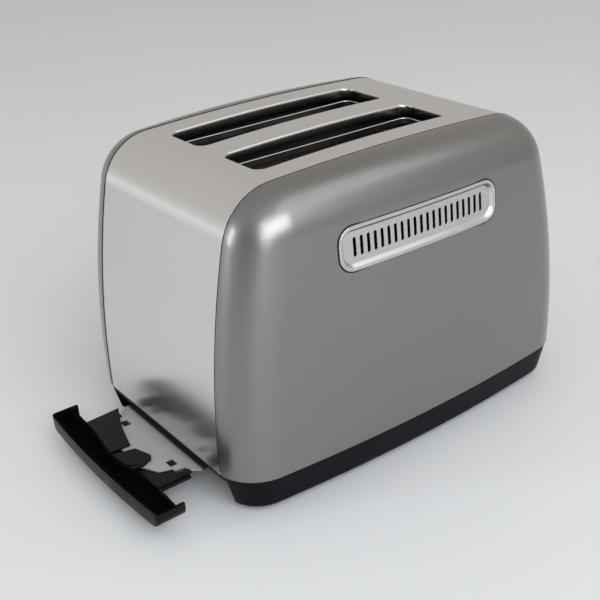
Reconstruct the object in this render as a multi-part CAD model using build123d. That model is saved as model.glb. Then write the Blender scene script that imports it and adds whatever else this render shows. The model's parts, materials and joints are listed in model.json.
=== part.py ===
from build123d import *
import math
import os

# A two-slot toaster. X runs along the body, with the crumb tray's end at -X and the controls at +X.
# Y runs across it and Z is up. The pieces are drawn about the middle of the body, on the worktop, and
# saved about the middle of the whole toaster, with its tray's handle and its dial.
# All sizes are in millimetres.

# Body: an arch seen from the side, with domed side panels
body_length = 278.0
body_height = 200.0
body_width = 206.0
crown_radius = 1700.0
end_radius = 600.0
shoulder_radius = 36.0
dome_radius = 1150.0
dome_level = 90.0
panel_edge_radius = 29.0
sheet = 1.2
band_width = 138.0
band_recess = 0.2
seam_gap = 0.6
joggle_width = 7.0
touch_gap = 0.05
shell_bottom = 26.0

# Allowances for cutting blocks
cut_margin = 5.0
end_depth = 25.0
far = 500.0
pill = 0.49

# Bread slots
slot_length = 146.0
slot_width = 38.4
slot_bridge = 23.2
slot_corner = 6.5
slot_middle_x = -8.9
slot_flange = 6.5
slot_roll = 1.5

# Second opening, in the plate under the slots
frame_drop = 10.0
frame_inset = 1.2
frame_flange = 4.0
frame_sheet = 1.0
frame_overhang = 3.0

# Vent grilles
vent_count = 21
vent_pitch = 5.0
vent_length = 11.8
vent_width = 2.2
grille_length = 124.0
grille_height = 27.0
grille_corner = 10.0
grille_middle_x = -2.8
grille_drop = 43.0
grille_lip = 1.5
grille_bevel = 2.4
grille_proud = 0.5
grille_recess = 1.4
grille_gap = 0.4
grille_flange = 1.5
grille_seat_gap = 0.2

# Base and feet
foot_height = 2.5
foot_radius = 8.0
foot_plug_radius = 3.0
base_wall = 3.0
base_floor = 2.4
base_step = 0.4
base_taper = 5.6
base_round = 4.5
notch_side_clearance = 1.0
notch_end_clearance = 1.0
notch_top_clearance = 0.6
notch_wall = 2.2
foot_inset_x = 34.0
plug_clearance = 0.05
mouth_drop = 2.6
mouth_gap = 1.0
board_post_inset = 8.0
board_post_width = 6.0
board_post_wall = 3.0
board_post_grip = 7.0
board_post_clearance = 0.1
base_vent_count = 9
base_vent_pitch = 14.0
base_vent_width = 3.0
base_vent_near = 6.0
base_vent_far = 34.0

# Crumb tray
tray_leg_clearance = 2.5
tray_level = 18.5
tray_sheet = 1.0
tray_lip = 2.0
tray_lip_start = 40.0
tray_pull = 48.0
tray_side_clearance = 0.8
tray_under_clearance = 0.3
tray_end_clearance = 5.0
handle_half = 72.0
handle_depth = 16.5
handle_low = 10.5
handle_high = 20.8
handle_ear = 5.0
handle_ear_width = 6.0
handle_wall = 2.0
plate_reach = 20.0
clip_hole_x = 5.0
clip_hole_y = 7.0
clip_hole_side = 30.0
clip_hole_reach = 36.5
handle_bow = 3.0
handle_floor = 2.5
handle_corner = 3.0
handle_end_round = 7.0
handle_rib = 1.2
handle_rib_places = (-50.0, -16.0, 16.0, 50.0)
clip_root = 5.0
arm_reach = 28.0
arm_width = 7.5
clip_thick = 1.6
web_thick = 2.2
runner_wall = 1.2
runner_ledge = 5.0
runner_gap = 2.4

# Toasting chamber
chamber_rear_gap = 15.1
chamber_front_gap = 8.9
chamber_sheet = 1.0
reflector_gap = 12.0
chamber_low = 28.0
plate_margin = 3.0
leg_half = 5.0
leg_edge = 2.0
toe_length = 11.0
toe_sheet = 1.2
reflector_sheet = 0.8
board_sheet = 0.8
board_gap = 7.0
board_inset = 6.0
inner_board_gap = 7.1
wire_width = 1.6
wire_thick = 0.4
wire_runs = 12
wire_margin = 7.0
wire_low_margin = 16.0
wire_high_margin = 14.0

# Bread guards and lift
guard_wire = 0.9
guard_inset = 3.7
guard_travel = 7.5
guard_bars = 10
guard_clearance = 0.35
guard_bar_wire = 0.8
guard_bar_inset = 4.0
guard_overhang = 2.0
guard_low_margin = 12.0
guard_high_margin = 11.0
rail_width = 7.0
rail_height = 14.0
rail_sheet = 1.2
rail_depth = 96.0
rail_low_level = 42.0
rail_clearance = 1.0
rail_end_clearance = 4.0
rail_play = 1.5
lever_rise = 48.0
lever_height = 8.0
lever_thick = 4.0
lever_clearance = 1.2
bracket_sheet = 1.5
bracket_gap = 4.0
bracket_depth = 19.0
bracket_skirt = 8.0
bracket_margin = 2.0
bracket_front_half = 14.0
rod_radius = 2.5
rod_spacing = 40.0
rod_tail = 1.0
rod_offset = 1.5
shelf_margin = 2.0
shelf_rod_margin = 7.0
shelf_low_gap = 1.0
shelf_high_gap = 7.0
bush_collar = 1.0
bush_radius = 4.0
running_clearance = 0.05
spring_radius = 3.5
spring_bore = 2.4
spring_y = 31.0
spring_lift = 8.0
knob_proud = 13.0
knob_width = 38.0
knob_height = 17.0
knob_round = 6.8
knob_face_round = 4.0
knob_back_round = 1.5
knob_socket = 4.0
bezel_proud = 0.8
bezel_width = 3.0

# Holding magnet
magnet_gap = 3.0
magnet_width = 12.0
magnet_leg = 4.0
magnet_spacing = 16.0
magnet_height = 20.0
coil_wall = 4.8
armature_gap = 0.5
armature_sheet = 2.0
coil_overhang = 1.5
coil_round = 2.5
coil_clearance = 0.1
coil_top_gap = 2.0

# Controls
fascia_side_margin = 8.0
fascia_ring_margin = 2.4
fascia_bezel_gap = 0.8
fascia_corner = 12.0
fascia_proud = 1.6
dial_radius = 17.0
dial_proud = 12.0
dial_ring = 3.2
dial_clearance = 0.4
dial_gap = 1.0
dial_disc = 5.0
dial_edge = 1.2
dial_grip = 8.0
dial_grip_round = 2.5
dial_cap = 4.0
trim_depth = 3.0
trim_proud = 1.8
trim_round = 0.9
shaft_radius = 3.0
shaft_seat = 1.2
pot_depth = 7.0
pot_half = 9.0
button_length = 16.0
button_height = 8.0
button_ring_gap = 7.4
button_spread = 8.5
button_clearance = 0.3
button_proud = 2.0
button_travel = 1.5
button_seat = 1.9
button_flange = 1.2
button_flange_margin = 1.5
button_stem = 6.0
button_stem_radius = 2.0
button_round = 0.8
lens_radius = 1.5
lens_gap = 3.5
lens_clearance = 0.05
lens_round = 0.6
lens_recess = 1.2
switch_half = 3.0
relay_depth = 9.0
chip_depth = 2.5
capacitor_radius = 3.2
control_board_gap = 21.0
control_board_sheet = 1.6
control_board_margin = 4.0
control_board_under = 4.0
control_board_over = 2.0

# Mains side
gland_x = -62.0
gland_level = 14.0
gland_bore = 3.8
gland_radius = 6.0
gland_length = 16.0
gland_flange = 8.0
gland_inset = 4.2
gland_lip = 1.8
gland_boss = 9.0
screw_radius = 1.5
screw_head = 3.2
screw_head_height = 1.4
screw_head_recess = 0.3
screw_head_clearance = 0.2
screw_cross = 2.0
screw_cross_half = 0.4
screw_cross_depth = 0.8
screw_length = 6.0
screw_plate_gap = 6.0
terminal_inset = 36.0
terminal_half_x = 13.0
terminal_half_y = 6.0
terminal_height = 14.0
terminal_pitch = 8.0

# Places that follow from the sizes above
half_length = body_length / 2
half_width = body_width / 2
band_half = band_width / 2
band_inner = band_recess + sheet
band_end_x = half_length - band_recess
seam_y = band_half + seam_gap
slot_y = slot_bridge / 2 + slot_width / 2
slot_low_x = slot_middle_x - slot_length / 2
slot_high_x = slot_middle_x + slot_length / 2
rear_plate_x = slot_low_x - chamber_rear_gap
front_plate_x = slot_high_x + chamber_front_gap
chamber_start_x = rear_plate_x + chamber_sheet
reflector_y = slot_y + slot_width / 2 + reflector_gap
frame_level = body_height - frame_drop
grille_level = body_height - grille_drop
chamber_high = frame_level - frame_sheet
outer_board_y = slot_y + slot_width / 2 + board_gap
inner_board_y = slot_bridge / 2 - inner_board_gap
floor_level = foot_height + base_floor
rail_level = body_height - rail_depth
lift_travel = rail_level - rail_low_level
lever_top = rail_level + lever_rise
lever_low = lever_top - lever_height
lever_middle = (lever_top + lever_low) / 2
lever_slot_width = lever_thick + 2 * lever_clearance
lever_slot_low = lever_low - lift_travel - lever_clearance
lever_slot_high = lever_top + lever_clearance
bracket_low = rail_level - bracket_skirt
bracket_x = front_plate_x + bracket_gap
bracket_front_x = bracket_x + bracket_depth
rod_x = bracket_x + bracket_depth / 2 + rod_offset
rod_y = rod_spacing / 2
shelf_low = chamber_low + shelf_low_gap
shelf_top = shelf_low + sheet
shelf_high = chamber_high - shelf_high_gap
magnet_x = bracket_front_x + bracket_sheet + magnet_gap
magnet_top = shelf_top + magnet_height
board_x = half_length - control_board_gap
board_face_x = board_x + control_board_sheet
ring_outer = dial_radius + dial_clearance + dial_ring
dial_level = lever_slot_low - bezel_width - fascia_bezel_gap - fascia_ring_margin - ring_outer
button_y = ring_outer + button_ring_gap + button_length / 2
button_levels = (dial_level + button_spread, dial_level - button_spread)
lens_offset = button_length / 2 + lens_gap
fascia_half = button_y + button_length / 2 + fascia_side_margin
fascia_low = dial_level - ring_outer - fascia_ring_margin
fascia_high = dial_level + ring_outer + fascia_ring_margin
control_board_half = fascia_half - control_board_margin
control_board_low = fascia_low - control_board_under
control_board_high = fascia_high + control_board_over
board_post_y = control_board_half - board_post_inset
chamber_outer_y = reflector_y + plate_margin
screw_y = chamber_outer_y - leg_half - leg_edge
runner_y = screw_y - leg_half - tray_leg_clearance - runner_wall
tray_half = runner_y - tray_side_clearance
notch_half = handle_half + notch_side_clearance
notch_x = -half_length + handle_depth + handle_ear + notch_end_clearance
handle_x = -half_length - tray_pull
handle_back_x = handle_x + handle_depth
tray_top = tray_level + tray_sheet
notch_top = max(handle_high, tray_top + tray_lip) + notch_top_clearance
tray_front_x = handle_x + plate_reach
tray_back_x = front_plate_x - tray_end_clearance - tray_pull
guard_open = slot_width / 2 - guard_inset
guard_near = guard_open - guard_travel
gland_face_y = half_width - gland_inset
gland_end_y = gland_face_y + gland_lip
guard_low = chamber_low + guard_low_margin
guard_high = chamber_high - guard_high_margin
spring_foot = rail_level + spring_lift


def block(x0, x1, y0, y1, z0, z1):
    middle = Pos((x0 + x1) / 2, (y0 + y1) / 2, (z0 + z1) / 2)
    return middle * Box(abs(x1 - x0), abs(y1 - y0), abs(z1 - z0))


def bar_x(x0, x1, y, z, radius):
    return Pos((x0 + x1) / 2, y, z) * Rot(0, 90, 0) * Cylinder(radius, x1 - x0)


def bar_y(x, y0, y1, z, radius):
    return Pos(x, (y0 + y1) / 2, z) * Rot(90, 0, 0) * Cylinder(radius, y1 - y0)


def bar_z(x, y, z0, z1, radius):
    return Pos(x, y, (z0 + z1) / 2) * Cylinder(radius, z1 - z0)


def prism_x(x0, x1, y, z, width, height, corner):
    # A rounded rectangle, wide along Y, drawn out along X
    plane = Plane(origin=(x0, y, z), x_dir=(0, 1, 0), z_dir=(1, 0, 0))
    return extrude(plane * RectangleRounded(width, height, corner), amount=x1 - x0)


def prism_y(x, y0, y1, z, width, height, corner):
    # A rounded rectangle, wide along X, drawn out along Y
    plane = Plane(origin=(x, y0, z), x_dir=(1, 0, 0), z_dir=(0, 1, 0))
    return extrude(plane * RectangleRounded(width, height, corner), amount=y1 - y0)


def plate_z(points, z0, z1):
    # A flat plate whose plan has the given corners
    outline = Face(Wire.make_polygon([Vector(x, y, z0) for x, y in points]))
    return extrude(outline, amount=z1 - z0, dir=(0, 0, 1))


def both_sides(shape):
    # The shape and its mirror image across the middle of the body
    return [shape, mirror(shape, about=Plane.XZ)]


def save(shape, name):
    # Moves the piece so that the origin lies under the middle of the whole toaster, then writes its file
    place = Pos(-origin_x, 0, 0)
    if isinstance(shape, list):
        shape = Compound(children=[place * piece for piece in shape])
    else:
        shape = place * shape
    export_step(shape, f"parts/{name}.step")


def arch_face(inset):
    # The side view of the body: crown, shoulder and end arcs that run into each other
    crown_centre = Vector(0, 0, body_height - crown_radius)
    end_centre = Vector(half_length - end_radius, 0, shell_bottom)
    to_crown = crown_radius - shoulder_radius
    to_end = end_radius - shoulder_radius
    apart = end_centre - crown_centre
    along = (to_crown**2 - to_end**2 + apart.length**2) / (2 * apart.length)
    aside = math.sqrt(to_crown**2 - along**2)
    unit = apart.normalized()
    shoulder_centre = crown_centre + unit * along + Vector(unit.Z, 0, -unit.X) * aside
    up = (shoulder_centre - crown_centre).normalized()
    out = (shoulder_centre - end_centre).normalized()
    reach = end_radius - inset
    end_join = end_centre + out * reach
    side_point = end_centre + ((out + Vector(1, 0, 0)).normalized()) * reach
    right = [
        Vector(0, 0, body_height - inset),
        crown_centre + up * (crown_radius - inset),
        shoulder_centre + (up + out).normalized() * (shoulder_radius - inset),
        end_join,
        side_point,
        end_centre + Vector(reach, 0, 0),
        Vector(end_centre.X + reach, 0, 0),
    ]
    left = [Vector(-point.X, 0, point.Z) for point in right]
    edges = [
        ThreePointArc(left[1], right[0], right[1]),
        ThreePointArc(right[1], right[2], right[3]),
        ThreePointArc(right[3], right[4], right[5]),
        Line(right[5], right[6]),
        Line(right[6], left[6]),
        Line(left[6], left[5]),
        ThreePointArc(left[5], left[4], left[3]),
        ThreePointArc(left[3], left[2], left[1]),
    ]
    return Face(Wire(edges))


def arch_form(inset, y0, y1):
    # The arch as a solid between two planes, without the domed sides
    return Pos(0, y0, 0) * extrude(arch_face(inset), amount=y1 - y0, dir=(0, 1, 0))


def dome(side, inset):
    return Pos(0, side * (half_width - dome_radius), dome_level) * Sphere(dome_radius - inset)


def body_form(inset):
    # The whole body, with every face moved inwards by the inset
    form = extrude(arch_face(inset), amount=half_width + cut_margin, dir=(0, 1, 0), both=True)
    form = form & dome(-1, inset) & dome(1, inset)
    rim = [e for e in form.edges() if abs(e.center().Y) > half_width - 30.0 and e.center().Z > 1.0]
    return fillet(rim, panel_edge_radius - inset)


def crown_level(x, inset):
    return body_height - crown_radius + math.sqrt((crown_radius - inset) ** 2 - x**2)


def above(level):
    return block(-far, far, -far, far, level, level + far)


def end_cut(y, z, width, height, corner):
    # A hole with rounded corners through everything at the control end
    return prism_x(half_length - end_depth, half_length + cut_margin, y, z, width, height, corner)


def end_hole(y, z, radius):
    return bar_x(half_length - end_depth, half_length + cut_margin, y, z, radius)


def lever_cut(grow):
    # The tall slot of the lift lever, grown by the same amount all round
    middle = (lever_slot_low + lever_slot_high) / 2
    width = lever_slot_width + 2 * grow
    tall = lever_slot_high - lever_slot_low + 2 * grow
    return end_cut(0, middle, width, tall, width * pill)


def button_places():
    return [(side * button_y, level) for side in (-1, 1) for level in button_levels]


def lens_places():
    return [(y - math.copysign(lens_offset, y), level) for y, level in button_places()]


def slot_prism(side, grow, z0, z1):
    outline = RectangleRounded(slot_length + 2 * grow, slot_width + 2 * grow, slot_corner + grow)
    return Pos(slot_middle_x, side * slot_y, z0) * extrude(outline, amount=z1 - z0)


def center_shell():
    # One bent sheet for the top and both ends, with a turned-down flange round each slot
    skin = arch_form(band_recess, -band_half, band_half)
    shell = skin - arch_form(band_inner, -band_half - 1, band_half + 1)
    lowest = crown_level(abs(slot_low_x), band_recess) - slot_flange - cut_margin
    under = Pos(0, 0, -slot_flange) * skin
    for side in (-1, 1):
        collar = (slot_prism(side, sheet, lowest, body_height) & skin) - under
        shell = (shell + collar) - slot_prism(side, 0, lowest, body_height + cut_margin)
    shell = shell & above(shell_bottom)
    roll = []
    for edge in shell.edges():
        middle = edge.center()
        on_top = abs(middle.Z - crown_level(middle.X, band_recess)) < 0.02
        in_x = abs(middle.X - slot_middle_x) < slot_length / 2 + 0.1
        in_y = abs(abs(middle.Y) - slot_y) < slot_width / 2 + 0.1
        if on_top and in_x and in_y:
            roll.append(edge)
    shell = fillet(roll, slot_roll)
    shell = shell - lever_cut(0) - end_hole(0, dial_level, ring_outer + dial_clearance)
    for y, level in button_places():
        shell = shell - end_cut(y, level, button_length, button_height, button_height * pill)
    for y, level in lens_places():
        shell = shell - end_hole(y, level, lens_radius + lens_clearance)
    return shell


def grille_prism(grow, y0, y1):
    width = grille_length + 2 * grow
    height = grille_height + 2 * grow
    return prism_y(grille_middle_x, y0, y1, grille_level, width, height, grille_corner + grow)


def side_panel():
    # The panel on the -Y side: a domed shell whose edge steps in under the center shell
    outer = body_form(0)
    outside = block(-far, far, -far, -seam_y, 0, far)
    panel = (outer - body_form(sheet)) & outside
    step_in = band_inner + touch_gap + sheet
    web_y = -seam_y - sheet
    web = outer & block(-far, far, web_y, -seam_y, 0, far)
    panel = panel + (web - arch_form(step_in, web_y - 1, -seam_y + 1))
    flange_y = -seam_y + joggle_width
    flange = arch_form(band_inner + touch_gap, web_y, flange_y)
    flange = flange - arch_form(step_in, web_y - 1, flange_y + 1)
    panel = (panel + flange) & above(shell_bottom)
    return panel - grille_prism(grille_gap, -half_width - cut_margin, -half_width + end_depth)


def vent_grille():
    # A stamped plate in the -Y panel: raised lip, bevel, sunk field and a row of vents
    front = -half_width - cut_margin
    back = -half_width + end_depth
    back_inset = grille_recess + sheet
    plate = (grille_prism(0, front, back) & dome(-1, -grille_proud)) - dome(-1, back_inset)
    sunk = grille_prism(-grille_lip - grille_bevel, front, back) - dome(-1, grille_recess)
    plate = plate - sunk
    rim = []
    for edge in plate.edges():
        middle = edge.center()
        in_x = abs(middle.X - grille_middle_x) < grille_length / 2 - grille_lip - grille_bevel + 0.1
        in_z = abs(middle.Z - grille_level) < grille_height / 2 - grille_lip - grille_bevel + 0.1
        centre = Vector(0, dome_radius - half_width, dome_level)
        on_lip = (middle - centre).length > dome_radius + grille_proud - 0.05
        if in_x and in_z and on_lip:
            rim.append(edge)
    plate = chamfer(rim, grille_recess + grille_proud - 0.1)
    hidden = grille_prism(grille_flange, front, back) & dome(-1, sheet + grille_seat_gap)
    plate = plate + (hidden - dome(-1, back_inset) - grille_prism(-grille_lip, front, back))
    for number in range(vent_count):
        x = grille_middle_x + (number - (vent_count - 1) / 2) * vent_pitch
        plate = plate - prism_y(x, front, back, grille_level, vent_width, vent_length, vent_width * pill)
    return plate


def base_outline(inset):
    # The plan of the body at the bottom of the shell, moved inwards by the inset
    reach = math.sqrt(dome_radius**2 - (dome_level - shell_bottom) ** 2)
    plan = Rectangle(body_length - 2 * inset, body_width + 50)
    for side in (-1, 1):
        plan = plan & (Pos(0, side * (half_width - dome_radius)) * Circle(reach - inset))
    return fillet(plan.vertices(), panel_edge_radius - inset)


def tapered(top_inset, z0, z1):
    # A block with the base's plan that narrows towards the worktop
    slope = base_taper / (shell_bottom - foot_height)
    low = Pos(0, 0, z0) * base_outline(top_inset + slope * (shell_bottom - z0))
    high = Pos(0, 0, z1) * base_outline(top_inset + slope * (shell_bottom - z1))
    return loft([low, high], ruled=True)


def foot_places():
    x = half_length - foot_inset_x
    y = chamber_outer_y + foot_radius
    return [(sx * x, sy * y) for sx in (-1, 1) for sy in (-1, 1)]


def screw_places():
    x_places = (rear_plate_x - screw_plate_gap, front_plate_x + chamber_sheet + screw_plate_gap)
    return [(x, side * screw_y) for x in x_places for side in (-1, 1)]


def base_housing():
    # The moulded foot of the body, open at the tray's end for the handle and the fingers under a thin bar
    solid = tapered(base_step, foot_height, shell_bottom)
    solid = fillet(solid.edges().group_by(Axis.Z)[0], base_round)
    base = solid - tapered(base_step + base_wall, floor_level, shell_bottom)
    wall_y = notch_half + notch_wall
    wall_x = notch_x + notch_wall
    base = base - block(-far, notch_x, -notch_half, notch_half, 0, notch_top)
    base = base + (block(notch_x, wall_x, -wall_y, wall_y, foot_height, shell_bottom) & solid)
    for side in (-1, 1):
        cheek = block(-half_length, wall_x, side * notch_half, side * wall_y, foot_height, shell_bottom)
        base = base + (cheek & solid)
    base = base - block(notch_x - cut_margin, wall_x + cut_margin, -runner_y, runner_y,
                        tray_level - mouth_drop, shell_bottom - mouth_gap)
    for side in (-1, 1):
        near = side * (board_post_y - board_post_width / 2)
        away = side * (board_post_y + board_post_width / 2)
        post = block(board_x - board_post_wall, board_face_x + board_post_wall, near, away,
                     floor_level - base_floor / 2, control_board_low + board_post_grip)
        groove = block(board_x - board_post_clearance, board_face_x + board_post_clearance, -far, far,
                       control_board_low, far)
        base = base + (post - groove)
    boss = bar_y(gland_x, gland_face_y - gland_boss, gland_face_y, gland_level, gland_flange)
    base = base + (boss - tapered(base_step + base_wall, floor_level, shell_bottom))
    bore_start = gland_face_y - gland_length - cut_margin
    hole_radius = gland_radius + touch_gap
    base = base - bar_y(gland_x, bore_start, gland_face_y + cut_margin, gland_level, hole_radius)
    under = foot_height - 1
    over = floor_level + 1
    for x, y in foot_places():
        base = base - bar_z(x, y, under, over, foot_plug_radius + plug_clearance)
    for x, y in screw_places():
        head_top = foot_height + screw_head_recess + screw_head_height
        base = base - bar_z(x, y, under, head_top, screw_head + screw_head_clearance)
        base = base - bar_z(x, y, under, over, screw_radius + touch_gap)
    for number in range(base_vent_count):
        x = (number - (base_vent_count - 1) / 2) * base_vent_pitch
        half = base_vent_width / 2
        vent = block(x - half, x + half, base_vent_near, base_vent_far, under, over)
        for cut in both_sides(vent):
            base = base - cut
    return base


def rubber_feet():
    feet = []
    for x, y in foot_places():
        pad = bar_z(x, y, 0, foot_height, foot_radius)
        pad = chamfer(pad.edges().group_by(Axis.Z)[0], 0.6)
        feet.append(pad + bar_z(x, y, foot_height - 0.5, floor_level, foot_plug_radius))
    return feet


def base_screws():
    screws = []
    for x, y in screw_places():
        low = foot_height + screw_head_recess
        high = low + screw_head_height
        deep = low + screw_cross_depth
        head = bar_z(x, y, low, high, screw_head)
        cross = block(x - screw_cross, x + screw_cross, y - screw_cross_half, y + screw_cross_half, 0, deep)
        cross = cross + block(x - screw_cross_half, x + screw_cross_half, y - screw_cross, y + screw_cross,
                              0, deep)
        screws.append((head - cross) + bar_z(x, y, deep + 0.1, floor_level + screw_length, screw_radius))
    return screws


def crumb_tray():
    # A thin plate with a lip round the part that stays in the body
    front = tray_front_x
    plan = [
        (front, 20), (front + 7, tray_half - 13.5), (front + 14, tray_half - 12.5),
        (front + 14, tray_half - 10.5), (front + 21, tray_half - 9.5), (front + 21, tray_half - 4.5),
        (front + 27, tray_half), (tray_back_x, tray_half),
    ]
    plan = plan + [(x, -y) for x, y in reversed(plan)]
    tray = plate_z(plan, tray_level, tray_top)
    lip_start = front + tray_lip_start
    for side in (-1, 1):
        tray = tray + block(lip_start, tray_back_x, side * (tray_half - tray_sheet), side * tray_half,
                            tray_level, tray_top + tray_lip)
        x = handle_x + clip_hole_reach
        hole = block(x - clip_hole_x / 2, x + clip_hole_x / 2, side * (clip_hole_side - clip_hole_y / 2),
                     side * (clip_hole_side + clip_hole_y / 2), tray_level - 1, tray_top + 1)
        tray = tray - hole
    return tray + block(tray_back_x - tray_sheet, tray_back_x, -tray_half, tray_half, tray_level,
                        tray_top + tray_lip)


def handle_outline(inset):
    # Plan of the handle: a gently bowed face, and a back wall that waves in at the middle
    bow_radius = (handle_half**2 + handle_bow**2) / (2 * handle_bow)
    face_end_x = handle_x + handle_bow
    half = handle_half - inset
    back = handle_back_x - inset
    corner_x = face_end_x + inset
    back_line = Spline(
        Vector(back, half, 0), Vector(back - 0.5, 0.42 * half, 0), Vector(back - 3.6, 0.1 * half, 0),
        Vector(back - 3.4, -0.16 * half, 0), Vector(back + 1.4, -0.5 * half, 0), Vector(back, -half, 0),
        tangents=((0, -1, 0), (0, -1, 0)),
    )
    middle = Vector(handle_x + inset, 0, 0)
    face = Face(Wire([
        back_line,
        Line(Vector(back, -half, 0), Vector(corner_x, -half, 0)),
        ThreePointArc(Vector(corner_x, -half, 0), middle, Vector(corner_x, half, 0)),
        Line(Vector(corner_x, half, 0), Vector(back, half, 0)),
    ]))
    corners = [v for v in face.vertices() if v.X < corner_x + 0.1]
    return fillet(corners, handle_corner - inset)


def bowed_front(half, height, corner):
    # The front view of the handle, flat on top with large round corners below, drawn out along X
    middle_z = handle_low + height / 2 + corner / 2
    wide = RectangleRounded(2 * half, height + corner, corner)
    plane = Plane(origin=(handle_x - 5, 0, middle_z), x_dir=(0, 1, 0), z_dir=(1, 0, 0))
    return extrude(plane * wide, amount=handle_depth + handle_ear + 10)


def crumb_tray_handle():
    # A hollow bar with cross ribs, and the clips that hold the tray plate from above and below
    height = handle_high - handle_low
    body = Pos(0, 0, handle_low) * extrude(handle_outline(0), amount=height, dir=(0, 0, 1))
    front = bowed_front(handle_half, height, handle_end_round)
    body = body & front
    cavity = extrude(handle_outline(handle_wall), amount=handle_high, dir=(0, 0, 1))
    cavity = Pos(0, 0, handle_low + handle_floor) * cavity
    handle = body - cavity
    for y in handle_rib_places:
        rib = block(handle_x, handle_back_x, y - handle_rib / 2, y + handle_rib / 2, handle_low + 1,
                    handle_high - 3)
        handle = handle + (rib & body)
    start = handle_back_x - clip_root
    web = [
        (start, tray_half - 6.5), (start + 15, tray_half - 10.5), (start + 21, 14), (start + 21, -14),
        (start + 15, 10.5 - tray_half), (start, 6.5 - tray_half),
    ]
    for side in (-1, 1):
        ear = block(handle_back_x - 3, handle_back_x + handle_ear, side * (handle_half - handle_ear_width),
                    side * handle_half, handle_low, handle_high)
        ear = ear - block(handle_back_x - 5, handle_back_x + handle_ear + 1,
                          side * (handle_half - handle_ear_width - 1), side * (handle_half - handle_wall),
                          handle_low + handle_floor, handle_high + 1)
        handle = handle + (ear & front)
    outside = handle_outline(0.5)
    inner = Pos(0, 0, handle_low) * extrude(outside, amount=20, dir=(0, 0, 1))
    plates = plate_z(web, tray_level - web_thick, tray_level)
    for side in (-1, 1):
        arm = block(start, start + arm_reach, side * (tray_half - arm_width),
                    side * (tray_half - tray_under_clearance), tray_level - web_thick, tray_level)
        plates = plates + arm
    gusset = [
        (start, tray_half - 2.5), (start + 29, tray_half - 0.7), (start + 27, tray_half - 5.5),
        (start + 23, tray_half - 15), (start + 18.5, 20), (start + 14.5, 4), (start, 4),
    ]
    tongue = [
        (start, 2), (start + 15, -2), (start + 19, -15), (start + 17, -19), (start + 10, -22), (start, -20),
    ]
    side_clip = [
        (start, 12.5 - tray_half), (start + 14, 12.5 - tray_half), (start + 21, 10 - tray_half),
        (start + 21, 5.5 - tray_half), (start + 29, 4 - tray_half), (start + 29, 0.7 - tray_half),
        (start, 0.7 - tray_half),
    ]
    plates = plates + plate_z(gusset, tray_top, tray_top + clip_thick)
    plates = plates + plate_z(side_clip, tray_top, tray_top + clip_thick)
    plates = plates + plate_z(tongue, tray_top, tray_top + clip_thick * 0.7)
    joined = handle + (plates - inner)
    return joined


def tray_runners():
    start = notch_x + runner_gap
    end = front_plate_x - plate_margin
    level = tray_level - tray_under_clearance
    outer = runner_y + runner_wall
    side_wall = block(start, end, runner_y, outer, floor_level, tray_top + tray_lip)
    ledge_start = handle_back_x - clip_root + arm_reach + tray_pull + mouth_gap
    ledge = block(ledge_start, end, tray_half - runner_ledge, outer, level - tray_sheet, level)
    return both_sides(side_wall + ledge)


def end_plate(x, flange_side):
    # A sheet that closes one end of the toasting chamber and stands on the base by two legs
    outer = chamber_outer_y
    plate = block(x, x + chamber_sheet, -outer, outer, chamber_low, chamber_high)
    for side in (-1, 1):
        leg_y = side * (screw_y - leg_half)
        plate = plate + block(x, x + chamber_sheet, leg_y, side * outer, floor_level, chamber_low + 1)
        middle = x + chamber_sheet / 2
        toe = block(middle, middle + flange_side * toe_length, leg_y, side * outer, floor_level,
                    floor_level + toe_sheet)
        plate = plate + toe
        for pull in (-1, 1):
            low = side * slot_y + pull * guard_near
            high = side * slot_y + pull * guard_open
            grow = guard_wire + guard_clearance
            for level in (guard_low, guard_high):
                plate = plate - block(x - 1, x + 2, min(low, high) - grow, max(low, high) + grow,
                                      level - grow, level + grow)
    for hole_x, hole_y in screw_places():
        hole = bar_z(hole_x, hole_y, floor_level - 1, floor_level + toe_sheet + 1, screw_radius + touch_gap)
        plate = plate - hole
    return plate


def front_end_plate():
    # This plate also has the two shelves that hold the lift's rods and the magnet
    plate = end_plate(front_plate_x, 1)
    face = front_plate_x + chamber_sheet / 2
    half = rail_width / 2 + rail_clearance
    for side in (-1, 1):
        y = side * slot_y
        plate = plate - block(front_plate_x - 1, front_plate_x + chamber_sheet + 1, y - half, y + half,
                              rail_low_level - rail_height - rail_play, rail_level + rail_play)
    shelf_half = spring_y + spring_radius + shelf_margin
    low_end = magnet_x + magnet_width + shelf_margin
    low_half = rod_y + shelf_rod_margin
    plate = plate + block(face, low_end, -low_half, low_half, shelf_low, shelf_top)
    plate = plate + block(face, rod_x + shelf_rod_margin, -shelf_half, shelf_half, shelf_high,
                          shelf_high + sheet)
    for side in (-1, 1):
        plate = plate - bar_z(rod_x, side * rod_y, shelf_low - 1, far, rod_radius + touch_gap)
    return plate


def reflector():
    return block(chamber_start_x, front_plate_x, reflector_y, reflector_y + reflector_sheet, chamber_low,
                 chamber_high)


def slot_frame():
    # The plate under the slots, whose openings are a little smaller than the slots above
    x0 = rear_plate_x - frame_overhang
    x1 = front_plate_x + chamber_sheet + frame_overhang
    frame = block(x0, x1, -chamber_outer_y, chamber_outer_y, chamber_high, frame_level)
    low = frame_level - frame_flange
    for side in (-1, 1):
        frame = frame + slot_prism(side, frame_sheet - frame_inset, low, frame_level)
        frame = frame - slot_prism(side, -frame_inset, low - 1, frame_level + 1)
    return frame


def element_board(y):
    return block(chamber_start_x, front_plate_x, y - board_sheet / 2, y + board_sheet / 2,
                 chamber_low + board_inset, chamber_high - board_inset)


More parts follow.
